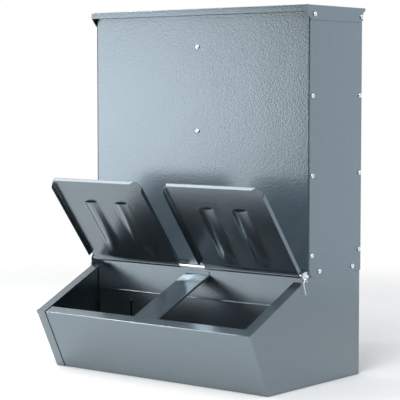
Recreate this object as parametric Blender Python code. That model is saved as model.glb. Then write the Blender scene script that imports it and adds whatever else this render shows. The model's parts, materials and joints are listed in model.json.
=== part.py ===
"""Two-hole gravity feeder folded from sheet steel.

A tall hopper stands on a base whose open trough reaches out in front. Two flap lids turn on
one rod over the trough, a lid covers the hopper, and a sliding gate sets how much feed runs
down the inner ramp. Dimensions are in millimetres and UNIT turns them into metres. X runs to
the right as seen from the front, Y to the back and Z up, from the ground below the middle of
the hopper's front face.
"""

import math

import bmesh
import bpy
from mathutils import Vector

UNIT = 0.001

# Driving dimensions
WIDTH = 480.0  # over the hopper's side panels
DEPTH = 157.0  # hopper, front face to back face
HEIGHT = 640.0  # ground to the top of the lid
SEAM_Z = 184.0  # where the hopper stands on the base
LIP_REACH, LIP_Z = 164.0, 105.0  # top front edge of the trough
TOE_REACH = 113.0  # bottom front edge of the trough
SHEET = 1.0
GAP = 0.3
BEND = 0.8  # inside radius of a fold
BEND_STEPS = 3

# Hopper
BODY_TOP = HEIGHT - SHEET - 2.5
SIDE_OUT = WIDTH / 2
FOLD_OUT = SIDE_OUT - SHEET - GAP  # outside of whatever is tucked inside a hopper side
FOLD_IN = FOLD_OUT - SHEET
HOPPER_FOLD = 18.0
CORNER_CLIP = 7.0

# Base
INNER = FOLD_IN - GAP  # outside of whatever is tucked inside a base side
TRAY_HALF = INNER - SHEET - GAP
RIM_WIDTH = 20.0
REAR_FOLD = 15.0
FOLD_LEG = 6.0
TONGUE_TOP = SEAM_Z + 18.0
TONGUE_FRONT, TONGUE_REAR = HOPPER_FOLD + 1.0, DEPTH - HOPPER_FOLD - 0.5
RIM_START = 15.0
FRONT_LIP = 19.5
TRAY_FOLD = 14.0
BACK_FOLD = 13.0
RAMP_TOP, RAMP_TOE, RAMP_FOOT = 150.0, -30.0, 15.0

# Throat, gate and centre bar
THROAT_BOTTOM, THROAT_TOP = 104.0, 200.0
THROAT_FOLD = 13.0
GATE_HALF, GATE_BOTTOM, GATE_TOP, GATE_LIP = 232.0, 55.0, 131.0, 8.0
GATE_BOLT_X, GATE_BOLT_Z, GATE_SLOT_BOTTOM = 155.0, 112.0, 82.0
GATE_BEAD_R = 1.3  # rolled top edge of the gate
BAR_HALF, BAR_RIDGE, BAR_LIP, BAR_REAR_Z, BAR_TAB = 28.2, 1.2, 3.2, 174.0, 5.0

# Flap hinge
AXIS_Y, AXIS_Z = -13.0, 188.0
ROD_R, ROD_END = 2.5, 247.0
EAR_R = 6.5
WASHER_R, BORE_R = 5.8, 2.8
PIN_X, PIN_R = 242.6, 1.0

# Flap lids, in the flap's own frame: x across, s away from the axis, t towards the underside
FLAP_OPEN = 53.0  # degrees above the horizontal
FLAP_INNER, FLAP_OUTER = 24.0, 237.4
FLAP_LENGTH, FLAP_BACK = 193.0, 8.0
FLAP_CLIP, FLAP_TAPER, FLAP_DEPTH = 12.0, 6.3, 8.3
FLANGE_START = 12.0
RIB_OFFSET, RIB_BASE, RIB_FLOOR, RIB_DEPTH = 35.5, 20.0, 10.5, 5.0
RIB_ENDS = (13.0, 28.0, 137.7, 139.9)  # a long run-out towards the rod, a steep front end
CURL_R, CURL_INSET = 3.3, 5.0

# Top lid
LID_OUT = SIDE_OUT + 2.3
LID_FRONT, LID_BACK = -11.4, DEPTH + 8.4
LID_HEM = 11.0
LID_SKIRT_Z = 615.0
LID_SCREW_Z, LID_FRONT_Y, LID_PIVOT_Y = 624.5, 10.0, 152.0
NOTCH_HALF = 2.7

# Fasteners: M4 pan head screws, each with its nut
HEAD_R, HEAD_H, SHANK_R, HOLE_R = 4.1, 2.2, 2.0, 2.4
NUT_FLATS, NUT_H, TAIL = 7.0, 3.2, 1.6
SIDE_SCREWS_Z = (221.0, 355.0, 489.0)
FRONT_COLUMN_Y, REAR_COLUMN_Y = 7.5, 151.0
SEAM_SCREWS = ((30.0, 193.0), (130.5, 193.0))
STRAP_SCREWS_Z = (426.5, 573.8)
STRAP_SHEET, STRAP_HALF, STRAP_TAB = 1.5, 10.0, 8.0

ROUND = 12  # facets round a screw or a rod
RIGHT, LEFT = 1, -1
SIDE_NAMES = {RIGHT: "right", LEFT: "left"}


# Directions on the trough's sloping rim and on its leaning front face
def unit(y, z):
    length = math.hypot(y, z)
    return y / length, z / length


RIM_LENGTH = math.hypot(LIP_REACH, SEAM_Z - LIP_Z)
RIM_Y, RIM_Z = unit(-LIP_REACH, LIP_Z - SEAM_Z)
FACE_Y, FACE_Z = unit(LIP_REACH - TOE_REACH, -LIP_Z)


def rim_point(x, rise, along):
    """A point `along` the rim from the hopper's front, `rise` above its top surface."""
    return x, RIM_Y * along + RIM_Z * rise, SEAM_Z + RIM_Z * along - RIM_Y * rise


def face_point(x, out, down):
    """A point `down` the trough's front face from its top edge, `out` in front of it."""
    y = -LIP_REACH + FACE_Y * down + FACE_Z * out
    return x, y, LIP_Z + FACE_Z * down - FACE_Y * out


def face_ground(out):
    """How far down the front face the ground is."""
    return (LIP_Z - FACE_Y * out) / -FACE_Z


# How a profile's two coordinates and its sweep become X, Y and Z
def across(y, z, x):
    return x, y, z


def upright(x, y, z):
    return x, y, z


def lengthways(x, z, y):
    return x, y, z


# Outlines
def sheet_outline(path, thickness=SHEET, inside=BEND):
    """The section of a folded sheet. `path` is one of its faces and the other lies to its left."""
    points = [Vector(point) for point in path]
    headings = [(b - a).normalized() for a, b in zip(points, points[1:])]
    near, far = [points[0]], [points[0] + left_of(headings[0]) * thickness]
    for corner, before, after in zip(points[1:], headings, headings[1:]):
        turn = math.atan2(before.cross(after), before.dot(after))
        side = math.copysign(1.0, turn)
        near_r = inside + (thickness if side > 0 else 0.0)
        far_r = near_r - side * thickness
        start = corner - before * near_r * math.tan(abs(turn) / 2)
        centre = start + left_of(before) * side * near_r
        for step in range(BEND_STEPS + 1):
            spoke = rotated(left_of(before) * side, turn * step / BEND_STEPS)
            near.append(centre - spoke * near_r)
            far.append(centre - spoke * far_r)
    near.append(points[-1])
    far.append(points[-1] + left_of(headings[-1]) * thickness)
    return near + far[::-1]


def left_of(vector):
    return Vector((-vector.y, vector.x))


def rotated(vector, angle):
    cos, sin = math.cos(angle), math.sin(angle)
    return Vector((vector.x * cos - vector.y * sin, vector.x * sin + vector.y * cos))


def ribbon(middle, thickness=SHEET):
    """The section of a thin strip along a middle line."""
    points = [Vector(point) for point in middle]
    headings = [(b - a).normalized() for a, b in zip(points, points[1:])]
    left, right = [], []
    for i, point in enumerate(points):
        before, after = headings[max(i - 1, 0)], headings[min(i, len(headings) - 1)]
        mitre = left_of((before + after).normalized())
        reach = thickness / 2 / mitre.dot(left_of(after))
        left.append(point + mitre * reach)
        right.append(point - mitre * reach)
    return right + left[::-1]


def arc(centre, radius, start, end, steps):
    """Points round an arc, with its angles in degrees."""
    angles = [math.radians(start + (end - start) * i / steps) for i in range(steps + 1)]
    return [(centre[0] + radius * math.cos(a), centre[1] + radius * math.sin(a)) for a in angles]


def rectangle(low, high):
    return [(low[0], low[1]), (high[0], low[1]), (high[0], high[1]), (low[0], high[1])]


# Objects
def clear_scene():
    for obj in list(bpy.data.objects):
        bpy.data.objects.remove(obj)


def paint(name, colour, roughness, metallic):
    material = bpy.data.materials.new(name)
    material.use_nodes = True
    shader = material.node_tree.nodes["Principled BSDF"]
    shader.inputs["Base Color"].default_value = (*colour, 1.0)
    shader.inputs["Roughness"].default_value = roughness
    shader.inputs["Metallic"].default_value = metallic
    return material


def add_object(name, vertices, faces, material=None):
    """A mesh object from millimetres. Without a material it is a hidden helper."""
    mesh = bpy.data.meshes.new(name)
    mesh.from_pydata([Vector(v) * UNIT for v in vertices], [], faces)
    shape = bmesh.new()
    shape.from_mesh(mesh)
    bmesh.ops.recalc_face_normals(shape, faces=shape.faces)
    shape.to_mesh(mesh)
    shape.free()
    obj = bpy.data.objects.new(name, mesh)
    bpy.context.scene.collection.objects.link(obj)
    if material:
        mesh.materials.append(material)
    else:
        obj.hide_render = True
        obj.display_type = "WIRE"
    return obj


def sweep(name, outline, place, low, high, material=None):
    """A solid swept from `low` to `high`. Either end may be a function, for a slanted cut."""

    def end(value, a, b):
        return place(a, b, value(a, b) if callable(value) else value)

    count = len(outline)
    vertices = [end(low, *p) for p in outline] + [end(high, *p) for p in outline]
    faces = [(i, (i + 1) % count, (i + 1) % count + count, i + count) for i in range(count)]
    faces += [tuple(range(count))[::-1], tuple(range(count, 2 * count))]
    return add_object(name, vertices, faces, material)


def stack(name, rings, place, material=None):
    """A solid through rings of points, each ring a list of (a, b) at one height."""
    count = len(rings[0][0])
    vertices = [place(a, b, height) for ring, height in rings for a, b in ring]
    faces = []
    for level in range(len(rings) - 1):
        for i in range(count):
            j = (i + 1) % count
            base = level * count
            faces.append((base + i, base + j, base + count + j, base + count + i))
    faces += [tuple(range(count))[::-1], tuple(range(len(vertices) - count, len(vertices)))]
    return add_object(name, vertices, faces, material)


def circle(radius, centre=(0.0, 0.0), sides=ROUND):
    return arc(centre, radius, 0.0, 360.0, sides)[:-1]


def hexagon(flats):
    """Twelve points on a hexagon: its corners and the middles of its sides."""
    radii = (flats / math.sqrt(3), flats / 2)
    return [
        (radii[i % 2] * math.cos(math.pi * i / 6), radii[i % 2] * math.sin(math.pi * i / 6))
        for i in range(ROUND)
    ]


def combine(obj, helpers, operation):
    for helper in helpers:
        modifier = obj.modifiers.new(helper.name, "BOOLEAN")
        modifier.operation = operation
        modifier.object = helper
        # A fold shares faces with its sheet, where the exact solver leaves open edges.
        folded = any(m.operation == "UNION" for m in obj.modifiers)
        modifier.solver = "MANIFOLD" if folded else "EXACT"


def join(obj, *helpers):
    combine(obj, helpers, "UNION")


def cut(obj, *helpers):
    combine(obj, helpers, "DIFFERENCE")


def drill(obj, place, centres, low, high, radius=HOLE_R):
    """Round holes through obj. The cutter of each one runs from `low` to `high`."""
    for i, centre in enumerate(centres):
        name = f"{obj.name}.hole{i}.{int(low)}"
        cut(obj, sweep(name, circle(radius, centre), place, low, high))


def shade_round(obj):
    obj.data.shade_smooth()
    obj.data.set_sharp_from_angle(angle=math.radians(40))
    return obj


def tube(name, points, radius, material=None, closed=False, sides=8):
    """A wire of round section along points (y, z) in one plane; the plane is x = 0."""
    points = [Vector(point) for point in points]
    count = len(points)
    vertices, faces = [], []
    for i, point in enumerate(points):
        before = points[i - 1] if closed or i else point
        after = points[(i + 1) % count] if closed or i < count - 1 else point
        normal = left_of((after - before).normalized())
        for x, out in circle(radius, sides=sides):
            spot = point + normal * out
            vertices.append((x, spot.x, spot.y))
    spans = count if closed else count - 1
    for i in range(spans):
        for k in range(sides):
            a, b = i * sides, (i + 1) % count * sides
            m = (k + 1) % sides
            faces.append((a + k, a + m, b + m, b + k))
    if not closed:
        faces += [tuple(range(sides))[::-1], tuple(range(len(vertices) - sides, len(vertices)))]
    return add_object(name, vertices, faces, material)


# Hopper
def hopper_side(side, metal):
    bottom = SEAM_Z + GAP
    outline = [
        (0.5, BODY_TOP),
        (0.5, bottom + CORNER_CLIP + 1.0),
        (CORNER_CLIP, bottom),
        (DEPTH, bottom),
        (DEPTH, BODY_TOP),
    ]
    low, high = side * (SIDE_OUT - SHEET), side * SIDE_OUT
    panel = sweep(f"hopper_side_{SIDE_NAMES[side]}", outline, across, low, high, metal)
    holes = [(y, z) for y in (FRONT_COLUMN_Y, REAR_COLUMN_Y) for z in SIDE_SCREWS_Z]
    holes += [*SEAM_SCREWS, (LID_PIVOT_Y, LID_SCREW_Z)]
    drill(panel, across, holes, side * (SIDE_OUT - 2), side * (SIDE_OUT + 1))
    cut(panel, lid_notch(panel.name, side * (SIDE_OUT - 2), side * (SIDE_OUT + 1)))
    return panel


def lid_notch(name, low, high):
    """The cutter of an open-topped notch for the shank of a lid screw."""
    bottom = LID_SCREW_Z - SHANK_R - GAP
    outline = rectangle((LID_FRONT_Y - NOTCH_HALF, bottom), (LID_FRONT_Y + NOTCH_HALF, HEIGHT))
    return sweep(f"{name}.notch{int(low)}", outline, across, low, high)


def hopper_front(metal):
    path = [
        (-FOLD_OUT, HOPPER_FOLD),
        (-FOLD_OUT, 0.0),
        (FOLD_OUT, 0.0),
        (FOLD_OUT, HOPPER_FOLD),
    ]
    panel = sweep("hopper_front", sheet_outline(path), upright, SEAM_Z + GAP, BODY_TOP, metal)
    columns = [(FRONT_COLUMN_Y, z) for z in SIDE_SCREWS_Z]
    for side in (RIGHT, LEFT):
        low, high = side * (FOLD_IN - 1), side * (FOLD_OUT + 1)
        drill(panel, across, columns, low, high)
        cut(panel, lid_notch(panel.name, low, high))
    drill(panel, lengthways, [(0.0, z) for z in STRAP_SCREWS_Z], -1.0, SHEET + 1)
    return panel


def hopper_back(metal):
    path = [
        (FOLD_OUT, DEPTH - HOPPER_FOLD),
        (FOLD_OUT, DEPTH),
        (-FOLD_OUT, DEPTH),
        (-FOLD_OUT, DEPTH - HOPPER_FOLD),
    ]
    panel = sweep("hopper_back", sheet_outline(path), upright, SEAM_Z + GAP, BODY_TOP, metal)
    columns = [(REAR_COLUMN_Y, z) for z in SIDE_SCREWS_Z] + [(LID_PIVOT_Y, LID_SCREW_Z)]
    for side in (RIGHT, LEFT):
        drill(panel, across, columns, side * (FOLD_IN - 1), side * (FOLD_OUT + 1))
    strap_holes = [(0.0, z) for z in STRAP_SCREWS_Z]
    drill(panel, lengthways, strap_holes, DEPTH - SHEET - 1, DEPTH + 1)
    return panel


def tie_strap(name, screw_z, metal):
    """A strap from the hopper's front to its back, which keeps the feed from bulging them."""
    front, back = SHEET + GAP, DEPTH - SHEET - GAP
    top, foot = screw_z + STRAP_TAB + STRAP_SHEET, screw_z - STRAP_TAB
    path = [(back, foot), (back, top), (front, top), (front, foot)]
    outline = sheet_outline(path, STRAP_SHEET)
    strap = sweep(name, outline, across, -STRAP_HALF, STRAP_HALF, metal)
    for low, high in ((0.0, front + STRAP_SHEET + 1), (back - STRAP_SHEET - 1, DEPTH)):
        drill(strap, lengthways, [(0.0, screw_z)], low, high)
    return strap


# Base
def fold(width):
    """The section of a fold on a base side: x and the distance out of the folded face."""
    return sheet_outline([(FOLD_OUT, -FOLD_LEG), (FOLD_OUT, 0.0), (FOLD_OUT - width, 0.0)])


def base_side(side, metal):
    """Side of the base, with its rim, front and rear folds and the ear that holds the rod."""
    inset = SHEET + BEND
    face_top = face_point(0.0, -inset, inset)
    ear = arc((AXIS_Y, AXIS_Z), EAR_R, 180.0, 60.0, 6)
    outline = [
        face_point(0.0, -inset, face_ground(-inset))[1:],
        (DEPTH - inset, 0.0),
        (DEPTH - inset, SEAM_Z - GAP),
        (TONGUE_REAR, SEAM_Z - GAP),
        (TONGUE_REAR, TONGUE_TOP),
        (TONGUE_FRONT, TONGUE_TOP),
        (TONGUE_FRONT, SEAM_Z - GAP),
        (-GAP - 0.2, SEAM_Z - GAP),
        (-GAP - 0.2, AXIS_Z + EAR_R / 2),
        *ear[::-1],
        rim_point(0.0, 0.0, -(AXIS_Y - EAR_R) / -RIM_Y)[1:],
        rim_point(0.0, -inset, -(AXIS_Y - EAR_R) / -RIM_Y + 1)[1:],
        face_top[1:],
    ]
    name = f"base_side_{SIDE_NAMES[side]}"
    plate = sweep(name, outline, across, side * FOLD_IN, side * FOLD_OUT, metal)

    def rim(x, rise, along):
        return rim_point(side * x, rise, along)

    def face(x, out, down):
        return face_point(side * x, out, down)

    def rear(x, out, z):
        return side * x, DEPTH + out, z

    join(
        plate,
        sweep(name + ".rim", fold(RIM_WIDTH), rim, RIM_START, RIM_LENGTH),
        sweep(name + ".face", fold(RIM_WIDTH), face, 0.0, lambda x, out: face_ground(out)),
        sweep(name + ".rear", fold(REAR_FOLD), rear, 0.0, SEAM_Z - GAP),
    )
    low, high = side * (FOLD_IN - 1), side * (FOLD_OUT + 1)
    drill(plate, across, SEAM_SCREWS, low, high)
    drill(plate, across, [(AXIS_Y, AXIS_Z)], low, high - side * 0.5, BORE_R)
    return plate


def trough_front(metal):
    """Front wall of the trough, tucked behind the folds of the base sides."""
    tuck = SHEET + GAP
    corner = face_point(0.0, -tuck, tuck)
    lip = rim_point(0.0, -tuck, RIM_LENGTH - FRONT_LIP)
    toe = face_point(0.0, -tuck, face_ground(-tuck))
    outline = sheet_outline([lip[1:], corner[1:], toe[1:]])
    return sweep("trough_front", outline, across, -INNER, INNER, metal)


def floor_tray(metal):
    """Floor of the base, a shallow tray whose edges stand up inside the walls."""
    tuck = 2 * (SHEET + GAP)
    rear = DEPTH - 2 * (SHEET + GAP)
    toe = face_point(0.0, -tuck, face_ground(-tuck))
    top = face_point(0.0, -tuck, face_ground(-tuck) - TRAY_FOLD)
    path = [top[1:], toe[1:], (rear, 0.0), (rear, TRAY_FOLD)]
    half = TRAY_HALF
    tray = sweep("floor_tray", sheet_outline(path), across, -half, half, metal)
    side_fold = sheet_outline([(-half, TRAY_FOLD), (-half, 0.0), (FOLD_LEG - half, 0.0)])
    for side in (RIGHT, LEFT):
        mirrored = [(-side * x, z) for x, z in side_fold]
        name = f"floor_tray.{SIDE_NAMES[side]}"
        join(tray, sweep(name, mirrored, lengthways, toe[1] + SHEET, rear - SHEET / 2))
    return tray


def base_back(metal):
    rear = DEPTH - SHEET - GAP
    path = [(INNER, rear - BACK_FOLD), (INNER, rear), (-INNER, rear), (-INNER, rear - BACK_FOLD)]
    return sweep("base_back", sheet_outline(path), upright, 0.0, THROAT_TOP, metal)


def feed_ramp(metal):
    """Sloping floor inside, which brings the feed forward under the gate."""
    rear = DEPTH - 2 * (SHEET + GAP)
    foot = SHEET + GAP
    path = [
        (RAMP_TOE - RAMP_FOOT, foot),
        (RAMP_TOE, foot),
        (rear, RAMP_TOP),
        (rear, RAMP_TOP + REAR_FOLD),
    ]
    half = TRAY_HALF - SHEET - GAP
    return sweep("feed_ramp", sheet_outline(path), across, -half, half, metal)


def throat_plate(metal):
    """Wall between the hopper and the trough. Its top laps the hopper's front panel."""
    front = -SHEET - GAP
    back = front + THROAT_FOLD
    path = [(-INNER, back), (-INNER, front), (INNER, front), (INNER, back)]
    outline = sheet_outline(path)
    plate = sweep("throat_plate", outline, upright, THROAT_BOTTOM, SEAM_Z - 2 * GAP, metal)
    half, clip = INNER - 1.0, 6.0
    lap = [
        (-half, SEAM_Z - 10),
        (half, SEAM_Z - 10),
        (half, THROAT_TOP - clip),
        (half - clip, THROAT_TOP),
        (clip - half, THROAT_TOP),
        (-half, THROAT_TOP - clip),
    ]
    join(plate, sweep("throat_plate.lap", lap, lengthways, front, front + SHEET))
    bolts = [(side * GATE_BOLT_X, GATE_BOLT_Z) for side in (RIGHT, LEFT)]
    drill(plate, lengthways, bolts, front - 1, front + SHEET + 1)
    return plate


def feed_gate(metal):
    """Plate that slides up and down on two bolts and sets the feed gap."""
    front = -2 * (SHEET + GAP)
    path = [
        (front + SHEET, GATE_TOP),
        (front + SHEET, GATE_BOTTOM),
        (front + SHEET - GATE_LIP, GATE_BOTTOM),
    ]
    outline = sheet_outline([(2 * front + SHEET - y, z) for y, z in path])
    outline = [(2 * front + SHEET - y, z) for y, z in outline]
    gate = sweep("feed_gate", outline, across, -GATE_HALF, GATE_HALF, metal)
    bead = arc((front + SHEET - GATE_BEAD_R, GATE_TOP - 0.3), GATE_BEAD_R, 0.0, 330.0, 11)
    join(gate, sweep("feed_gate.bead", bead, across, -GATE_HALF, GATE_HALF))
    radius = SHANK_R + GAP
    for side in (RIGHT, LEFT):
        x = side * GATE_BOLT_X
        top = arc((x, GATE_BOLT_Z), radius, 0.0, 180.0, 6)
        slot = [*top, *arc((x, GATE_SLOT_BOTTOM + radius), radius, 180.0, 360.0, 6)]
        name = f"feed_gate.slot_{SIDE_NAMES[side]}"
        cut(gate, sweep(name, slot, lengthways, front - 1, front + SHEET + 1))
    return gate


def centre_bar(metal):
    """Bar over the middle of the trough, ridged lengthways, which the flaps close on."""
    front_y, front_z = rim_point(0.0, -2 * SHEET - 2 * GAP - BAR_RIDGE, RIM_LENGTH - 4.0)[1:]
    rear_y = -SHEET - 2 * GAP
    length = math.hypot(front_y - rear_y, front_z - BAR_REAR_Z)
    run_y, run_z = unit(front_y - rear_y, front_z - BAR_REAR_Z)

    def along(x, rise, reach):
        return x, rear_y + run_y * reach + run_z * rise, BAR_REAR_Z + run_z * reach - run_y * rise

    def to_wall(x, rise):
        return -run_z * rise / run_y

    path = [
        (BAR_HALF, -BAR_LIP),
        (BAR_HALF, 0.0),
        (0.0, BAR_RIDGE),
        (-BAR_HALF, 0.0),
        (-BAR_HALF, -BAR_LIP),
    ]
    bar = sweep("centre_bar", sheet_outline(path), along, to_wall, length, metal)
    low = (-BAR_HALF + SHEET, BAR_REAR_Z - SHEET)
    tab = rectangle(low, (BAR_HALF - SHEET, BAR_REAR_Z + BAR_TAB))
    join(bar, sweep("centre_bar.tab", tab, lengthways, rear_y - SHEET, rear_y))
    return bar


# Flap lids
def flap_surface(name, x_low, x_high, material):
    """The pressed sheet of a flap. Two ribs stand proud of its underside."""
    inset = SHEET + BEND
    middle = (x_low + x_high) / 2
    columns = [(x_low + inset, 0.0)]
    for centre in (middle - RIB_OFFSET, middle + RIB_OFFSET):
        columns += [(centre - RIB_BASE, 0.0), (centre - RIB_FLOOR, 1.0)]
        columns += [(centre + RIB_FLOOR, 1.0), (centre + RIB_BASE, 0.0)]
    columns.append((x_high - inset, 0.0))
    shoulder = FLAP_LENGTH - FLAP_CLIP - 1.0
    rows = [(FLAP_BACK, 0.0, 0.0)]
    rows += [(s, float(0 < i < 3), 0.0) for i, s in enumerate(RIB_ENDS)]
    rows += [(shoulder, 0.0, 0.0), (FLAP_LENGTH - inset, 0.0, FLAP_CLIP - inset)]
    vertices = []
    for face in (-SHEET / 2, SHEET / 2):
        for s, row_depth, clip in rows:
            for i, (x, column_depth) in enumerate(columns):
                shift = {0: clip, len(columns) - 1: -clip}.get(i, 0.0)
                vertices.append((x + shift, s, face + RIB_DEPTH * row_depth * column_depth))
    wide, deep = len(columns), len(rows)
    layer = wide * deep
    faces = []
    for j in range(deep - 1):
        for i in range(wide - 1):
            a = j * wide + i
            corners = (a, a + 1, a + wide + 1, a + wide)
            faces += [corners, tuple(layer + c for c in corners[::-1])]
    rim = list(range(wide)) + [j * wide + wide - 1 for j in range(1, deep)]
    rim += [layer - 1 - i for i in range(1, wide)] + [j * wide for j in range(deep - 2, 0, -1)]
    for a, b in zip(rim, rim[1:] + rim[:1]):
        faces.append((a, b, b + layer, a + layer))
    return add_object(name, vertices, faces, material)


def flap(side, metal):
    """One flap lid, standing open. Its origin is on the rod's axis."""
    x_low, x_high = sorted((side * FLAP_INNER, side * FLAP_OUTER))
    name = f"flap_{SIDE_NAMES[side]}"
    top, edge = -SHEET / 2, FLAP_LENGTH
    lid = flap_surface(name, x_low, x_high, metal)
    taper = FLAP_TAPER / (FLAP_DEPTH - top)
    shoulder = edge - FLAP_CLIP

    def along_s(x, t, s):
        return x, s, t

    def along_x(s, t, x):
        return x, s, t

    def side_end(x, t):
        return shoulder - taper * (t - top)

    # Each folded edge as a section with its fold towards the underside
    left = sheet_outline([(x_low + FOLD_LEG, top), (x_low, top), (x_low, FLAP_DEPTH)][::-1])
    right = [(x_low + x_high - x, t) for x, t in left]
    front = sheet_outline([(edge, FLAP_DEPTH), (edge, top), (edge - FOLD_LEG, top)][::-1])
    clip_low, clip_high = x_low + FLAP_CLIP, x_high - FLAP_CLIP
    curl = [(FLANGE_START, 0.0), (FLAP_BACK, 0.0), (5.4, 1.2)]
    curl += arc((0.0, 0.0), CURL_R, 40.0, 320.0, 10)
    helpers = [
        sweep(name + ".left", left, along_s, FLANGE_START, side_end),
        sweep(name + ".right", right, along_s, FLANGE_START, side_end),
        sweep(
            name + ".front",
            front,
            along_x,
            lambda s, t: clip_low + taper * (t - top),
            lambda s, t: clip_high - taper * (t - top),
        ),
        sweep(name + ".curl", ribbon(curl), along_x, x_low + CURL_INSET, x_high - CURL_INSET),
    ]
    join(lid, *helpers)
    for piece in (lid, *helpers):
        piece.location = (0.0, AXIS_Y * UNIT, AXIS_Z * UNIT)
        piece.rotation_euler.x = math.radians(180.0 - FLAP_OPEN)
    return lid


# Hinge rod
def hinge_rod(metal):
    section = circle(ROD_R, (AXIS_Y, AXIS_Z))
    rod = shade_round(sweep("hinge_rod", section, across, -ROD_END, ROD_END, metal))
    for side in (RIGHT, LEFT):
        centre = (side * PIN_X, AXIS_Y)
        drill(rod, upright, [centre], AXIS_Z - 2 * ROD_R, AXIS_Z + 2 * ROD_R, PIN_R + GAP)
        rod.modifiers[-1].name = f"pin_hole_{SIDE_NAMES[side]}"
    return rod


def rod_washer(side, metal):
    low = side * (FOLD_OUT + GAP)
    name = f"rod_washer_{SIDE_NAMES[side]}"
    outline = circle(WASHER_R, (AXIS_Y, AXIS_Z))
    washer = sweep(name, outline, across, low, low + side * SHEET, metal)
    drill(washer, across, [(AXIS_Y, AXIS_Z)], low - side, low + 2 * side, BORE_R)
    return shade_round(washer)


def split_pin(side, metal):
    """Split pin through the end of the rod: an eye above it and two bent legs below."""
    name = f"split_pin_{SIDE_NAMES[side]}"
    eye_r, wire = 2.3, 0.8
    pin = tube(name, [(0.0, -4.0), (0.0, ROD_R + 1.0)], PIN_R, metal)
    eye = arc((0.0, ROD_R + 0.6 + eye_r), eye_r, 0.0, 360.0, 12)[:-1]
    helpers = [
        tube(name + ".eye", eye, wire, closed=True),
        tube(name + ".short_leg", [(0.1, -3.0), (0.9, -7.0), (4.4, -10.5)], wire),
        tube(name + ".long_leg", [(0.0, -3.0), (-6.2, -12.0), (0.2, -31.0)], wire),
    ]
    join(pin, *helpers)
    for piece in (pin, *helpers):
        piece.location = Vector((side * PIN_X, AXIS_Y, AXIS_Z)) * UNIT
    return shade_round(pin)


# Top lid
def top_lid(metal):
    """Shallow cap with deep side skirts. It turns on its two rear screws."""
    inset = SHEET + BEND
    low, high = (-LID_OUT + inset, LID_FRONT + inset), (LID_OUT - inset, LID_BACK - inset)
    lid = sweep("top_lid", rectangle(low, high), upright, HEIGHT - SHEET, HEIGHT, metal)
    skirt = [
        (LID_FRONT, HEIGHT - inset),
        (LID_FRONT, HEIGHT - LID_HEM),
        (1.0, LID_SKIRT_Z),
        (DEPTH - 5, LID_SKIRT_Z),
        (DEPTH, LID_SKIRT_Z + 5),
        (DEPTH, HEIGHT - 9),
        (LID_BACK - 1.0, HEIGHT - inset),
    ]
    hem_z = HEIGHT - LID_HEM
    front = [(LID_FRONT, hem_z), (LID_FRONT, HEIGHT), (LID_FRONT + FOLD_LEG, HEIGHT)]
    back = [(LID_BACK, hem_z), (LID_BACK, HEIGHT), (LID_BACK - FOLD_LEG, HEIGHT)]
    front = sheet_outline(front[::-1])
    back = sheet_outline(back)
    side_fold = sheet_outline(
        [(LID_OUT, HEIGHT - FOLD_LEG), (LID_OUT, HEIGHT), (LID_OUT - FOLD_LEG, HEIGHT)]
    )
    join(
        lid,
        sweep("top_lid.front", front, across, -LID_OUT + GAP, LID_OUT - GAP),
        sweep(
            "top_lid.back",
            back,
            across,
            lambda y, z: -LID_OUT + inset + HEIGHT - z,
            lambda y, z: LID_OUT - inset - HEIGHT + z,
        ),
    )
    for side in (RIGHT, LEFT):
        name = f"top_lid.{SIDE_NAMES[side]}"
        section = [(side * x, z) for x, z in side_fold]
        skirt_low, skirt_high = side * (LID_OUT - SHEET), side * LID_OUT
        join(
            lid,
            sweep(name + "_fold", section, lengthways, LID_FRONT + GAP, LID_BACK - inset),
            sweep(name + "_skirt", skirt, across, skirt_low, skirt_high),
        )
        holes = [(LID_FRONT_Y, LID_SCREW_Z), (LID_PIVOT_Y, LID_SCREW_Z)]
        drill(lid, across, holes, skirt_low - side, skirt_high + side)
    return lid


# Fasteners
def screw(name, head, outward, grip, metal):
    """A pan head screw with its nut. `head` is under the head and `outward` points out of it."""
    out = Vector(outward)
    u = out.orthogonal().normalized()
    v = out.cross(u)

    def place(a, b, height):
        return Vector(head) + u * a + v * b + out * height

    shank = circle(SHANK_R)
    nut = hexagon(NUT_FLATS)
    rings = [
        (shank, -grip - NUT_H - TAIL),
        (shank, -grip - NUT_H),
        (nut, -grip - NUT_H),
        (nut, -grip),
        (shank, -grip),
        (shank, 0.0),
        (circle(HEAD_R), 0.0),
        (circle(HEAD_R), HEAD_H * 0.45),
        (circle(HEAD_R * 0.6), HEAD_H),
    ]
    return shade_round(stack(name, rings, place, metal))


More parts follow.
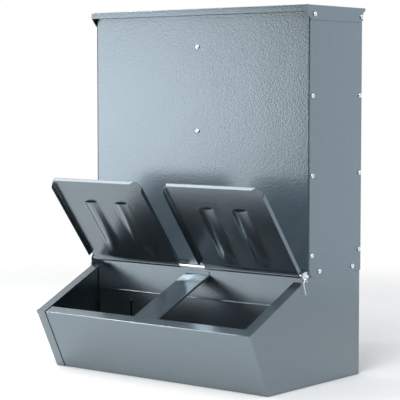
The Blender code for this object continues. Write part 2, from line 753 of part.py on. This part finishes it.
def all_screws(zinc, dark):
    panel_grip = SIDE_OUT - FOLD_IN + 2 * GAP
    lid_grip = LID_OUT - FOLD_IN + 2 * GAP
    for side in (RIGHT, LEFT):
        word, out = SIDE_NAMES[side], (side, 0.0, 0.0)
        head_x = side * (SIDE_OUT + GAP)
        for level, z in enumerate(SIDE_SCREWS_Z, 1):
            front, rear = (head_x, FRONT_COLUMN_Y, z), (head_x, REAR_COLUMN_Y, z)
            screw(f"front_screw_{word}_{level}", front, out, panel_grip, zinc)
            screw(f"rear_screw_{word}_{level}", rear, out, panel_grip, zinc)
        for number, (y, z) in enumerate(SEAM_SCREWS, 1):
            screw(f"seam_screw_{word}_{number}", (head_x, y, z), out, panel_grip, zinc)
        lid_x = side * (LID_OUT + GAP)
        pivot, lock = (lid_x, LID_PIVOT_Y, LID_SCREW_Z), (lid_x, LID_FRONT_Y, LID_SCREW_Z)
        screw(f"lid_pivot_screw_{word}", pivot, out, lid_grip, zinc)
        screw(f"lid_front_screw_{word}", lock, out, lid_grip, zinc)
        bolt = (side * GATE_BOLT_X, -2 * (SHEET + GAP) - GAP, GATE_BOLT_Z)
        screw(f"gate_bolt_{word}", bolt, (0.0, -1.0, 0.0), 2 * SHEET + 3 * GAP, dark)
    strap_grip = SHEET + STRAP_SHEET + 3 * GAP
    for word, z in zip(("lower", "upper"), STRAP_SCREWS_Z):
        screw(f"strap_screw_front_{word}", (0.0, -GAP, z), (0.0, -1.0, 0.0), strap_grip, zinc)
        rear = (0.0, DEPTH + GAP, z)
        screw(f"strap_screw_back_{word}", rear, (0.0, 1.0, 0.0), strap_grip, zinc)


def main():
    clear_scene()
    hopper_paint = paint("hopper_paint", (0.30, 0.36, 0.40), 0.38, 0.35)
    trough_paint = paint("trough_paint", (0.27, 0.32, 0.36), 0.32, 0.35)
    zinc = paint("zinc_plate", (0.78, 0.79, 0.80), 0.28, 1.0)
    dark = paint("black_steel", (0.05, 0.055, 0.06), 0.40, 0.8)
    hopper_front(hopper_paint)
    hopper_back(hopper_paint)
    top_lid(hopper_paint)
    for word, z in zip(("lower", "upper"), STRAP_SCREWS_Z):
        tie_strap(f"tie_strap_{word}", z, zinc)
    for side in (RIGHT, LEFT):
        hopper_side(side, hopper_paint)
        base_side(side, trough_paint)
        flap(side, trough_paint)
        rod_washer(side, zinc)
        split_pin(side, zinc)
    for make in (trough_front, floor_tray, base_back, feed_ramp, throat_plate, feed_gate, centre_bar):
        make(trough_paint)
    hinge_rod(zinc)
    all_screws(zinc, dark)


main()
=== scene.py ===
"""Looks of the two-hole gravity feeder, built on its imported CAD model."""

import json
import math

import bmesh
import bpy
from mathutils import Matrix, Vector


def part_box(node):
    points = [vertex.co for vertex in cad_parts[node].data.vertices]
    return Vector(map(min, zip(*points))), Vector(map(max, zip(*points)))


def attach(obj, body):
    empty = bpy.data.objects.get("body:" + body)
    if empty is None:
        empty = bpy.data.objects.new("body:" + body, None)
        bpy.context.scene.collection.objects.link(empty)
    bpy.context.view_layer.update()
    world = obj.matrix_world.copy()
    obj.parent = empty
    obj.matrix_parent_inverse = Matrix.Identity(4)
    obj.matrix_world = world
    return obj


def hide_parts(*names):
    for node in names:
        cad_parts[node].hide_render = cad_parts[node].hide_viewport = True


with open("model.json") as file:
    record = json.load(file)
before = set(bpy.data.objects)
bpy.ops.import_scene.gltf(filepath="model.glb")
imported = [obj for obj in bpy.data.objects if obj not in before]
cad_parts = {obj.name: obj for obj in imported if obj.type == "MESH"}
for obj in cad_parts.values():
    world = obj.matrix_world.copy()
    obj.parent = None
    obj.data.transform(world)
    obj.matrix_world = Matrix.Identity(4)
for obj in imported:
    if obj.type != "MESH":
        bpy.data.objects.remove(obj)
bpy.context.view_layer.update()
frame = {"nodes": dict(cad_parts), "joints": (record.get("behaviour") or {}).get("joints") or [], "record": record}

MM = 0.001
SHEET = 1.0  # millimetres, like the sizes below
BEND = 1.3  # radius of a fold at the middle of the sheet
nodes = frame["nodes"]
joints = {joint["name"]: joint for joint in frame["joints"]}
slot_of = {part["node"]: part["material_slot"] for part in frame["record"]["subparts"]}
body_of = {n: b for b, names in frame["record"]["behaviour"]["bodies"].items() for n in names}


# Materials
DIMPLES, MOTTLES, WAVES, MARKS = 380.0, 330.0, 9.0, 900.0  # scales of the textures, per metre
COAT, COAT_ROUGHNESS = 0.3, 0.08


def new_material(name):
    material = bpy.data.materials.new(name)
    material.use_nodes = True
    tree = material.node_tree
    return material, tree, tree.nodes["Principled BSDF"]


def add(tree, kind, inputs=None, **settings):
    node = tree.nodes.new(kind)
    for key, value in settings.items():
        setattr(node, key, value)
    for key, value in (inputs or {}).items():
        if isinstance(value, bpy.types.NodeSocket):
            tree.links.new(value, node.inputs[key])
        else:
            node.inputs[key].default_value = value
    return node


def ramp(tree, source, stops):
    node = tree.nodes.new("ShaderNodeValToRGB")
    tree.links.new(source, node.inputs["Fac"])
    elements = node.color_ramp.elements
    while len(elements) < len(stops):
        elements.new(0.5)
    for element, (position, colour) in zip(elements, stops):
        element.position = position
        element.color = (*colour, 1.0)
    return node.outputs["Color"]


def grey(level):
    return (level, level, level)


def span(tree, source, low, high):
    inputs = {"Value": source, "To Min": low, "To Max": high}
    return add(tree, "ShaderNodeMapRange", inputs).outputs["Result"]


def noise(tree, place, scale, detail=2.0, roughness=0.5):
    inputs = {"Vector": place, "Scale": scale, "Detail": detail, "Roughness": roughness}
    return add(tree, "ShaderNodeTexNoise", inputs).outputs["Fac"]


def hammertone(name, colour, roughness, metallic, hammer):
    """Hammered enamel: shallow dimples, a fine mottle and slightly uneven gloss."""
    material, tree, shader = new_material(name)
    place = add(tree, "ShaderNodeTexCoord").outputs["Object"]
    cells = add(
        tree,
        "ShaderNodeTexVoronoi",
        {"Vector": place, "Scale": DIMPLES, "Smoothness": 0.8},
        feature="SMOOTH_F1",
    ).outputs["Distance"]
    mottle = noise(tree, place, MOTTLES, 3.0, 0.6)
    slow = noise(tree, place, WAVES, 1.0)
    light = tuple(c * 1.05 for c in colour)
    dark = tuple(c * 0.94 for c in colour)
    tree.links.new(ramp(tree, mottle, [(0.35, dark), (0.65, light)]), shader.inputs["Base Color"])
    tree.links.new(
        span(tree, mottle, roughness - 0.03, roughness + 0.03), shader.inputs["Roughness"]
    )
    waves = add(tree, "ShaderNodeBump", {"Height": slow, "Strength": 0.12, "Distance": 0.004})
    dimples = add(
        tree,
        "ShaderNodeBump",
        {
            "Height": cells,
            "Strength": hammer,
            "Distance": 0.0005,
            "Normal": waves.outputs["Normal"],
        },
    )
    tree.links.new(dimples.outputs["Normal"], shader.inputs["Normal"])
    shader.inputs["Metallic"].default_value = metallic
    shader.inputs["Coat Weight"].default_value = COAT
    shader.inputs["Coat Roughness"].default_value = COAT_ROUGHNESS
    return material


def plated(name, colour, roughness):
    """Plated steel with faint tumbling marks."""
    material, tree, shader = new_material(name)
    place = add(tree, "ShaderNodeTexCoord").outputs["Object"]
    marks = noise(tree, place, MARKS, 4.0, 0.65)
    dark = tuple(c * 0.82 for c in colour)
    tree.links.new(ramp(tree, marks, [(0.3, dark), (0.7, colour)]), shader.inputs["Base Color"])
    tree.links.new(
        span(tree, marks, roughness - 0.05, roughness + 0.08), shader.inputs["Roughness"]
    )
    bump = add(tree, "ShaderNodeBump", {"Height": marks, "Strength": 0.06, "Distance": 0.0001})
    tree.links.new(bump.outputs["Normal"], shader.inputs["Normal"])
    shader.inputs["Metallic"].default_value = 1.0
    return material


looks = {
    "hopper_paint": hammertone("hopper_paint", (0.195, 0.240, 0.272), 0.29, 0.92, 0.36),
    "trough_paint": hammertone("trough_paint", (0.192, 0.234, 0.262), 0.25, 0.92, 0.08),
    # the flap paint is a darker copy of the hopper's paint: painted shade on the flaps' undersides
    "flap_paint": hammertone("flap_paint", (0.160, 0.194, 0.217), 0.25, 0.92, 0.20),
    # a darker, rougher copy of the paint for the sheets inside the trough: painted shade
    "shaded_inner_paint": hammertone("shaded_inner_paint", (0.145, 0.177, 0.198), 0.50, 0.92, 0.08),
    "zinc_plate": plated("zinc_plate", (0.97, 0.98, 1.0), 0.30),
    "black_steel": plated("black_steel", (0.055, 0.06, 0.065), 0.38),
}


# Pieces
def finish_piece(obj, name, node, keep_flat=35):
    """Names the piece, gives it its node's look, and lets it stand for that node."""
    obj.name = name
    obj.data.name = name
    if not obj.data.materials:
        obj.data.materials.append(looks[slot_of[node]])
    obj.data.shade_smooth()
    obj.data.set_sharp_from_angle(angle=math.radians(keep_flat))
    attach(obj, body_of[node])
    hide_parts(node)
    return obj


def new_object(name, mesh, matrix=None):
    obj = bpy.data.objects.new(name, mesh)
    bpy.context.scene.collection.objects.link(obj)
    if matrix:
        obj.matrix_world = matrix
    return obj


def mesh_of(name, vertices, faces):
    """A mesh from millimetres."""
    mesh = bpy.data.meshes.new(name)
    mesh.from_pydata([Vector(v) * MM for v in vertices], [], faces)
    mesh.update()
    return mesh


def baked(obj):
    """The object's mesh with its modifiers applied; the object is removed."""
    graph = bpy.context.evaluated_depsgraph_get()
    graph.update()
    mesh = bpy.data.meshes.new_from_object(obj.evaluated_get(graph))
    bpy.data.objects.remove(obj)
    return mesh


def lathe(profile, sides, vertices, faces):
    """Adds a turned solid round Z to the lists. `profile` runs up its outside as (radius, z)."""
    base = len(vertices)
    for radius, z in profile:
        for i in range(sides):
            turn = 2 * math.pi * i / sides
            reach = radius(turn) if callable(radius) else radius
            vertices.append((reach * math.cos(turn), reach * math.sin(turn), z))
    for level in range(len(profile) - 1):
        for i in range(sides):
            a, b = base + level * sides, base + (level + 1) * sides
            j = (i + 1) % sides
            faces.append((a + i, a + j, b + j, b + i))
    last = base + (len(profile) - 1) * sides
    faces.append(tuple(range(base, base + sides))[::-1])
    faces.append(tuple(range(last, last + sides)))


def round_edges(obj, width, angle):
    """Rounds the cut edges of a sheet a little and keeps its flats flat."""
    bevel = obj.modifiers.new("edges", "BEVEL")
    bevel.width = width * MM
    bevel.segments = 2
    bevel.limit_method = "ANGLE"
    bevel.angle_limit = math.radians(angle)
    obj.modifiers.new("even", "WEIGHTED_NORMAL").keep_sharp = True


# Painted sheets keep their CAD shape
# these inner sheets get the darker copy of the paint, a painted shade of the trough's inside
INNER_SHEETS = ("floor_tray", "feed_ramp")


def paint_sheets():
    for name, node in nodes.items():
        node.data.materials.clear()
        look = "shaded_inner_paint" if name in INNER_SHEETS else slot_of[name]
        node.data.materials.append(looks[look])
        node.data.shade_smooth()
        node.data.set_sharp_from_angle(angle=math.radians(40))
        node.modifiers.new("weld", "WELD").merge_threshold = 1e-6
        round_edges(node, 0.25, 45)


# Flap lids, in millimetres in the flap's own frame: x across, s away from the axis, t to the
# underside. The frame's origin is on the rod's axis.
FLAP_OPEN = 53.0  # degrees between the open flap and the horizontal
FLAP_LENGTH, FLAP_DEPTH, FLAP_CLIP, FLAP_TAPER = 193.0, 8.3, 12.0, 0.72
FLANGE_START, SHEET_START = 12.0, 8.0
CURL_RADIUS, CURL_INSET, CURL_EXIT = 3.3, 5.0, (5.4, 1.2)
RIB_OFFSET, RIB_HALF, RIB_DEPTH = 35.5, 20.0, 4.2
RIB_CROWN, CROWN_SHARE = 15.0, 0.78  # the crown's half width and its share of the depth
CREASE_DEPTH, CREASE_HALF = 0.07, 0.9  # a groove along each side of a rib
RIB_REAR, RIB_RUN_OUT, RIB_FRONT = 13.0, 35.0, 139.0
END_STEP, END_LEAN, END_TUCK = 0.8, 1.4, 1.6  # the rib's front end stands back under itself
FOLD_TURNS = (22.5, 45.0, 67.5, 90.0)
NEAR = 0.01


def steps(start, stop, size):
    count = max(1, round(abs(stop - start) / size))
    return [start + (stop - start) * i / count for i in range(count + 1)]


def fold(turn):
    """How far a point of a fold is from its flange's plane and from the sheet's plane."""
    angle = math.radians(turn)
    return BEND * (1 - math.cos(angle)), BEND * (1 - math.sin(angle))


def rib_height(x, s, centres):
    """How far the sheet is pressed towards the underside at (x, s)."""
    away = min(abs(x - centre) for centre in centres)
    crown = max(0.0, 1.0 - (away / RIB_CROWN) ** 2.5)
    skirt = max(0.0, 1.0 - away / RIB_HALF)
    crease = CREASE_DEPTH * max(0.0, 1.0 - abs(away - RIB_HALF) / CREASE_HALF)
    across = CROWN_SHARE * crown + (1.0 - CROWN_SHARE) * skirt - crease
    rise = min(1.0, max(0.0, (s - RIB_REAR) / RIB_RUN_OUT))
    return RIB_DEPTH * across * math.sin(rise * math.pi / 2)


def rib_lean(x, s, centres):
    """How far the steep front end of a rib is moved along, so that it undercuts."""
    for row, shift in ((RIB_FRONT, END_LEAN), (RIB_FRONT + END_STEP, -END_TUCK)):
        if abs(s - row) < NEAR:
            return shift * rib_height(x, RIB_FRONT, centres) / RIB_DEPTH
    return 0.0


def flap_columns(low, high, centres):
    """Up one side flange, over the sheet and down the other, as (x, t, zone)."""
    edge, flat_start, flat_end = low + SHEET / 2, low + SHEET / 2 + BEND, high - SHEET / 2 - BEND
    flange = [(edge, t) for t in steps(FLAP_DEPTH, BEND, 2.3)]
    flange += [(edge + fold(turn)[0], fold(turn)[1]) for turn in FOLD_TURNS[:-1]]
    flat = {flat_start, flat_end, low + CURL_INSET, high - CURL_INSET}
    reach = RIB_HALF + 1
    plain_from = flat_start
    for centre in centres:
        flat.update(steps(centre - reach, centre + reach, 0.85))
        flat.update(steps(plain_from, centre - reach, 9.0)[1:-1])
        plain_from = centre + reach
    flat.update(steps(plain_from, flat_end, 9.0)[1:-1])
    columns = [(x, t, "side") for x, t in flange]
    columns += [(x, 0.0, "flat") for x in sorted(flat)]
    columns += [(low + high - x, t, "side") for x, t in reversed(flange)]
    return columns


def flap_rows():
    """Round the curl, over the sheet and down the front flange, as (s, t, zone)."""
    rows = []
    for turn in steps(320.0, 40.0, 14.0):
        angle = math.radians(turn)
        rows.append((CURL_RADIUS * math.cos(angle), CURL_RADIUS * math.sin(angle), "curl"))
    rows.append((*CURL_EXIT, "curl"))
    edge = FLAP_LENGTH - SHEET / 2
    flat = [SHEET_START, FLANGE_START, RIB_REAR]
    flat += steps(RIB_REAR, RIB_REAR + RIB_RUN_OUT, 2.5)[1:]
    flat += steps(RIB_REAR + RIB_RUN_OUT, RIB_FRONT - 7.0, 8.0)[1:]
    flat += steps(RIB_FRONT - 7.0, RIB_FRONT, 1.8)[1:]
    flat += [RIB_FRONT + END_STEP, RIB_FRONT + 2.2]
    flat += steps(RIB_FRONT + 3.0, edge - BEND, 6.0)[1:]
    rows += [(s, 0.0, "flat") for s in flat]
    rows += [(edge - fold(turn)[0], fold(turn)[1], "front") for turn in FOLD_TURNS[-2::-1]]
    rows += [(edge, t, "front") for t in steps(BEND, FLAP_DEPTH, 2.3)]
    return rows


def flap_grid(low, high, centres):
    """The middle surface of the flap, as vertex and face lists."""
    columns, rows = flap_columns(low, high, centres), flap_rows()
    vertices = []
    for s, drop, row_zone in rows:
        for x, t, column_zone in columns:
            pressed = 0.0
            if row_zone == column_zone == "flat" and s <= RIB_FRONT + NEAR:
                pressed = rib_height(x, s, centres)
            height = drop if row_zone == "curl" else max(t, drop) + pressed
            vertices.append((x, s + rib_lean(x, s, centres), height))
    faces = []
    wide = len(columns)
    for j, (row, next_row) in enumerate(zip(rows, rows[1:])):
        zones = (row[2], next_row[2])
        for i, (column, next_column) in enumerate(zip(columns, columns[1:])):
            x = (column[0] + next_column[0]) / 2
            side = "side" in (column[2], next_column[2])
            if side and ("curl" in zones or "front" in zones or row[0] < FLANGE_START - NEAR):
                continue
            if "curl" in zones and not low + CURL_INSET < x < high - CURL_INSET:
                continue
            a = j * wide + i
            faces.append((a, a + 1, a + wide + 1, a + wide))
    return vertices, faces


def clip_corners(mesh, low, high):
    """Cuts off both front corners at a slant."""
    shape = bmesh.new()
    shape.from_mesh(mesh)
    for side, edge in ((-1, low), (1, high)):
        bmesh.ops.bisect_plane(
            shape,
            geom=shape.verts[:] + shape.edges[:] + shape.faces[:],
            plane_co=Vector((edge - side * FLAP_CLIP, FLAP_LENGTH, 0.0)) * MM,
            plane_no=Vector((side, 1.0, FLAP_TAPER)),
            clear_outer=True,
        )
    loose = [v for v in shape.verts if not v.link_faces]
    bmesh.ops.delete(shape, geom=loose, context="VERTS")
    bmesh.ops.recalc_face_normals(shape, faces=shape.faces)
    shape.to_mesh(mesh)
    shape.free()


def flap(name, node, hinge):
    low, high = (corner.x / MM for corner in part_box(node))
    middle = (low + high) / 2
    mesh = mesh_of(name, *flap_grid(low, high, (middle - RIB_OFFSET, middle + RIB_OFFSET)))
    clip_corners(mesh, low, high)
    axis = Vector(joints[hinge]["pos_m"])
    turn = Matrix.Rotation(math.radians(180.0 - FLAP_OPEN), 4, "X")
    obj = new_object(name, mesh, Matrix.Translation(axis) @ turn)
    thick = obj.modifiers.new("sheet", "SOLIDIFY")
    thick.thickness = SHEET * MM
    thick.offset = 0.0
    thick.use_even_offset = True
    round_edges(obj, 0.15, 60)
    mesh.materials.append(looks["flap_paint"])
    return finish_piece(obj, name, node, 60)


# Fasteners, with the underside of the head at z = 0
HEAD_R, HEAD_H = 4.1, 2.2
RECESS_ARM, RECESS_HALF, RECESS_FLOOR = 1.8, 0.38, 1.2
SHANK_R, ROOT_R, PITCH = 1.95, 1.62, 0.66
NUT_FLATS, NUT_H, NUT_CHAMFER, TAIL = 7.0, 3.2, 0.3, 1.6
HEAD_TURN = 37.0  # degrees from one screw's recess to the next one's
MIDDLE_Y = 0.05  # metres. A screw along Y faces the back if it is behind this


def pan_head():
    """A pan head with a cross recess, as a mesh."""
    vertices, faces = [], []
    profile = [(3.85, 0.0), (4.05, 0.2), (HEAD_R, 0.55), (4.0, 1.05), (3.65, 1.6)]
    profile += [(3.05, 1.98), (2.2, 2.16), (1.2, HEAD_H)]
    lathe(profile, 32, vertices, faces)
    head = new_object("head", mesh_of("head", vertices, faces))
    wing = [(RECESS_ARM, -RECESS_HALF), (RECESS_ARM, RECESS_HALF), (RECESS_HALF, RECESS_HALF)]
    ring = []
    for turn in range(4):
        quarter = Matrix.Rotation(turn * math.pi / 2, 2)
        ring += [quarter @ Vector(p) for p in wing]
    vertices = [(0.5 * p.x, 0.5 * p.y, RECESS_FLOOR) for p in ring]
    vertices += [(p.x, p.y, HEAD_H + 0.8) for p in ring]
    count = len(ring)
    faces = [tuple(range(count))[::-1], tuple(range(count, 2 * count))]
    faces += [(i, (i + 1) % count, count + (i + 1) % count, count + i) for i in range(count)]
    recess = new_object("recess", mesh_of("recess", vertices, faces))
    cutter = head.modifiers.new("recess", "BOOLEAN")
    cutter.object = recess
    cutter.operation = "DIFFERENCE"
    mesh = baked(head)
    bpy.data.objects.remove(recess)
    return mesh


def nut_and_tail(grip):
    """Shank, nut and threaded tail below a head, as vertex and face lists."""
    vertices, faces = [], []

    def hexagon(turn):
        return NUT_FLATS / 2 / math.cos((turn + math.pi / 6) % (math.pi / 3) - math.pi / 6)

    def chamfer(turn):
        return min(hexagon(turn), NUT_FLATS / 2 + 0.1)

    low, high = -grip - NUT_H, -grip
    z = low - TAIL + 0.4
    shank = [(SHANK_R - 0.4, low - TAIL), (SHANK_R, z)]
    while z < low - 0.3:
        shank += [(ROOT_R, z + PITCH / 2), (SHANK_R, z + PITCH)]
        z += PITCH
    shank += [(SHANK_R, -0.02)]
    lathe(shank, 16, vertices, faces)
    bore = SHANK_R + 0.15
    nut = [(bore, low), (chamfer, low), (hexagon, low + NUT_CHAMFER)]
    nut += [(hexagon, high - NUT_CHAMFER), (chamfer, high), (bore, high)]
    lathe(nut, 48, vertices, faces)
    return vertices, faces


def screw_mesh(name, grip, head):
    shape = bmesh.new()
    shape.from_mesh(head)
    shape.from_mesh(mesh_of(name + "_shank", *nut_and_tail(grip)))
    mesh = bpy.data.meshes.new(name)
    shape.to_mesh(mesh)
    shape.free()
    return mesh


def screws():
    """Detailed screws on the places of the CAD ones. Screws of one length share a mesh."""
    head = pan_head()
    meshes = {}
    for number, name in enumerate(sorted(nodes)):
        if "screw" not in name and "bolt" not in name:
            continue
        low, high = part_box(name)
        size, middle = high - low, (low + high) / 2
        length_axis = max(range(3), key=lambda i: size[i])
        if length_axis == 0:
            sign = 1 if middle.x > 0 else -1
        else:
            sign = 1 if middle.y > MIDDLE_Y else -1
        grip = round(size[length_axis] / MM - HEAD_H - NUT_H - TAIL, 2)
        key = (grip, slot_of[name])
        if key not in meshes:
            meshes[key] = screw_mesh(f"screw_{len(meshes)}", grip, head)
            meshes[key].materials.append(looks[slot_of[name]])
        out = Vector((0.0, 0.0, 0.0))
        out[length_axis] = sign
        place = middle.copy()
        place[length_axis] = (high if sign > 0 else low)[length_axis] - sign * HEAD_H * MM
        turn = out.to_track_quat("Z", "Y").to_matrix().to_4x4()
        spin = Matrix.Rotation(math.radians(HEAD_TURN * number), 4, "Z")
        obj = new_object(name + "_piece", meshes[key], Matrix.Translation(place) @ turn @ spin)
        mesh_name = meshes[key].name
        finish_piece(obj, name + "_piece", name, 40)
        meshes[key].name = mesh_name


# Hinge rod, washers and split pins
AXIS = Vector(joints["right_flap_hinge"]["pos_m"])
ALONG_X = Matrix.Translation(AXIS) @ Matrix.Rotation(math.radians(90.0), 4, "Y")
ROD_R, ROD_CHAMFER = 2.5, 0.5
WASHER_R, WASHER_WALL, TURNED_SIDES = 5.8, 2.85, 40
WIRE_R, EYE_R = 0.62, 2.1


def turned(node, profile):
    """A mesh turned along X. `profile` is (radius, distance along X) about the rod's axis."""
    vertices, faces = [], []
    lathe(profile, TURNED_SIDES, vertices, faces)
    return mesh_of(node, vertices, faces)


def rod():
    low, high = (corner.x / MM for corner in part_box("hinge_rod"))
    tip = ROD_R - ROD_CHAMFER
    profile = [(tip, low), (ROD_R, low + ROD_CHAMFER), (ROD_R, high - ROD_CHAMFER), (tip, high)]
    finish_piece(new_object("rod", turned("rod", profile), ALONG_X), "rod", "hinge_rod", 30)


def bore_through(mesh):
    """Opens a hole from one flat end of a turned mesh to the other."""
    shape = bmesh.new()
    shape.from_mesh(mesh)
    rims = []
    for cap in [f for f in shape.faces if len(f.verts) == TURNED_SIDES]:
        bmesh.ops.inset_individual(shape, faces=[cap], thickness=WASHER_WALL * MM)
        rims += cap.edges[:]
        bmesh.ops.delete(shape, geom=[cap], context="FACES_ONLY")
    bmesh.ops.bridge_loops(shape, edges=rims)
    bmesh.ops.recalc_face_normals(shape, faces=shape.faces)
    shape.to_mesh(mesh)
    shape.free()


def washers():
    for node in ("rod_washer_left", "rod_washer_right"):
        low, high = (corner.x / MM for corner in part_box(node))
        profile = [(WASHER_R - 0.15, low), (WASHER_R, low + 0.15)]
        profile += [(WASHER_R, high - 0.25), (WASHER_R - 0.25, high)]
        mesh = turned(node, profile)
        bore_through(mesh)
        finish_piece(new_object(node + "_piece", mesh, ALONG_X), node + "_piece", node, 30)


def pin_path():
    """The wire of a split pin as (y, z): up the long leg, round the eye, down the short leg."""
    eye = []
    for turn in range(20, 360, 20):
        angle = math.radians(turn)
        side = -0.55 if turn < 180 else 0.55
        eye.append((side - EYE_R * math.sin(angle), 5.4 - EYE_R * math.cos(angle)))
    straight = [(0.5, -2.6), (0.6, 0.0), (0.55, 3.1)]
    long_leg = [(0.2, -31.0), (-2.6, -22.5), (-5.2, -14.5), (-5.9, -11.6)]
    long_leg += [(-4.6, -8.6), (-2.0, -5.2)]
    short_leg = [(0.9, -5.0), (2.2, -8.0), (4.2, -10.4)]
    up = [(-y, z) for y, z in straight]
    return long_leg + up + eye + straight[::-1] + short_leg


def split_pins():
    path = pin_path()
    for node in ("split_pin_left", "split_pin_right"):
        low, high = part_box(node)
        place = Matrix.Translation(((low.x + high.x) / 2, AXIS.y, AXIS.z))
        curve = bpy.data.curves.new(node, "CURVE")
        curve.dimensions = "3D"
        curve.bevel_depth = WIRE_R * MM
        curve.bevel_resolution = 4
        curve.use_fill_caps = True
        spline = curve.splines.new("NURBS")
        spline.points.add(len(path) - 1)
        for point, (y, z) in zip(spline.points, path):
            point.co = (0.0, y * MM, z * MM, 1.0)
        spline.order_u = 3
        spline.use_endpoint_u = True
        spline.resolution_u = 6
        mesh = baked(new_object(node + "_curve", curve, place))
        finish_piece(new_object(node + "_piece", mesh, place), node + "_piece", node, 60)


# Studio
FLOOR_R, FADE_FROM, FADE_TO = 1.9, 1.0, 1.8
# Softboxes: name, place, target, width and height, watts
LIGHTS = [
    ("wall", (-3.17, -2.1, 0.7), (-0.92, 0.0, 0.7), (2.2, 2.8), 8.2),
    ("low", (-2.08, -1.9, 0.40), (-0.58, -0.15, 0.05), (1.6, 0.95), 12.5),
    ("edge", (-1.35, -0.95, 1.45), (0.0, -0.1, 0.15), (0.3, 0.3), 8),
    ("overhead", (-1.3, -0.28, 1.9), (0.0, 0.07, 0.3), (1.4, 1.4), 19),
    ("key", (0.5, -1.3, 1.9), (0.0, -0.1, 0.1), (1.0, 1.0), 38),
]
CAMERA_PLACE = (1.727, -2.1337, 0.499)
CAMERA_DROP, CAMERA_TURN = 4.05, 38.9  # degrees below the horizontal and round to the left
LENS = 140.2


def area_light(name, place, target, size, watts):
    data = bpy.data.lights.new(name, "AREA")
    data.shape = "RECTANGLE"
    data.size, data.size_y = size
    data.energy = watts
    light = bpy.data.objects.new(name, data)
    light.location = place
    light.rotation_euler = (Vector(target) - Vector(place)).to_track_quat("-Z", "Y").to_euler()
    light.visible_camera = False
    bpy.context.scene.collection.objects.link(light)


def table_top():
    """A pale round floor that fades out towards its rim."""
    bpy.ops.mesh.primitive_circle_add(
        vertices=96, radius=FLOOR_R, fill_type="NGON", location=(0.0, 0.0, -0.0006)
    )
    floor = bpy.context.object
    floor.name = "floor"
    material, tree, shader = new_material("pale_floor")
    place = add(tree, "ShaderNodeTexCoord").outputs["Object"]
    grain = noise(tree, place, 40.0, 3.0)
    tint = ramp(tree, grain, [(0.3, grey(0.88)), (0.7, grey(0.90))])
    tree.links.new(tint, shader.inputs["Base Color"])
    shader.inputs["Roughness"].default_value = 0.7
    reach = add(tree, "ShaderNodeVectorMath", {0: place}, operation="LENGTH").outputs["Value"]
    inputs = {"Value": reach, "From Min": FADE_FROM, "From Max": FADE_TO}
    inputs |= {"To Min": 1.0, "To Max": 0.0}
    fade = add(tree, "ShaderNodeMapRange", inputs, interpolation_type="SMOOTHSTEP")
    tree.links.new(fade.outputs["Result"], shader.inputs["Alpha"])
    floor.data.materials.append(material)


def room():
    """A white backdrop, in a room that is lit from behind, the right and above."""
    world = bpy.data.worlds.new("studio")
    world.use_nodes = True
    tree = world.node_tree
    toward = add(tree, "ShaderNodeTexCoord").outputs["Generated"]

    def glow(direction, stops):
        facing = add(tree, "ShaderNodeVectorMath", {0: toward}, operation="DOT_PRODUCT")
        facing.inputs[1].default_value = direction
        return ramp(tree, facing.outputs["Value"], stops)

    def mixed(kind, factor, first, second):
        node = add(tree, "ShaderNodeMix", data_type="RGBA", blend_type=kind)
        for index, value in ((0, factor), (6, first), (7, second)):
            if isinstance(value, bpy.types.NodeSocket):
                tree.links.new(value, node.inputs[index])
            else:
                node.inputs[index].default_value = value
        return node.outputs[2]

    behind = glow((-0.63, 0.78, 0.0), [(0.0, grey(0.04)), (0.4, grey(0.60))])
    beside = glow((0.79, 0.61, 0.0), [(0.0, grey(0.0)), (0.8, (0.53, 0.59, 0.64))])
    above = glow((0.0, 0.0, 1.0), [(0.3, grey(0.0)), (0.8, grey(0.16))])
    lit = mixed("ADD", 1.0, mixed("ADD", 1.0, behind, beside), above)
    seen = add(tree, "ShaderNodeLightPath").outputs["Is Camera Ray"]
    backdrop = mixed("MIX", seen, lit, (1.0, 1.0, 1.0, 1.0))
    tree.links.new(backdrop, tree.nodes["Background"].inputs["Color"])
    bpy.context.scene.world = world


def place_camera():
    data = bpy.data.cameras.new("camera")
    data.lens = LENS
    data.sensor_width = 36.0
    data.clip_end = 50.0
    camera = bpy.data.objects.new("camera", data)
    camera.location = CAMERA_PLACE
    camera.rotation_euler = (math.radians(90 - CAMERA_DROP), 0.0, math.radians(CAMERA_TURN))
    bpy.context.scene.collection.objects.link(camera)
    bpy.context.scene.camera = camera
    bpy.context.scene.view_settings.view_transform = "Standard"


paint_sheets()
flap("flap_left_piece", "flap_left", "left_flap_hinge")
flap("flap_right_piece", "flap_right", "right_flap_hinge")
screws()
rod()
washers()
split_pins()
table_top()
room()
for light in LIGHTS:
    area_light(*light)
place_camera()
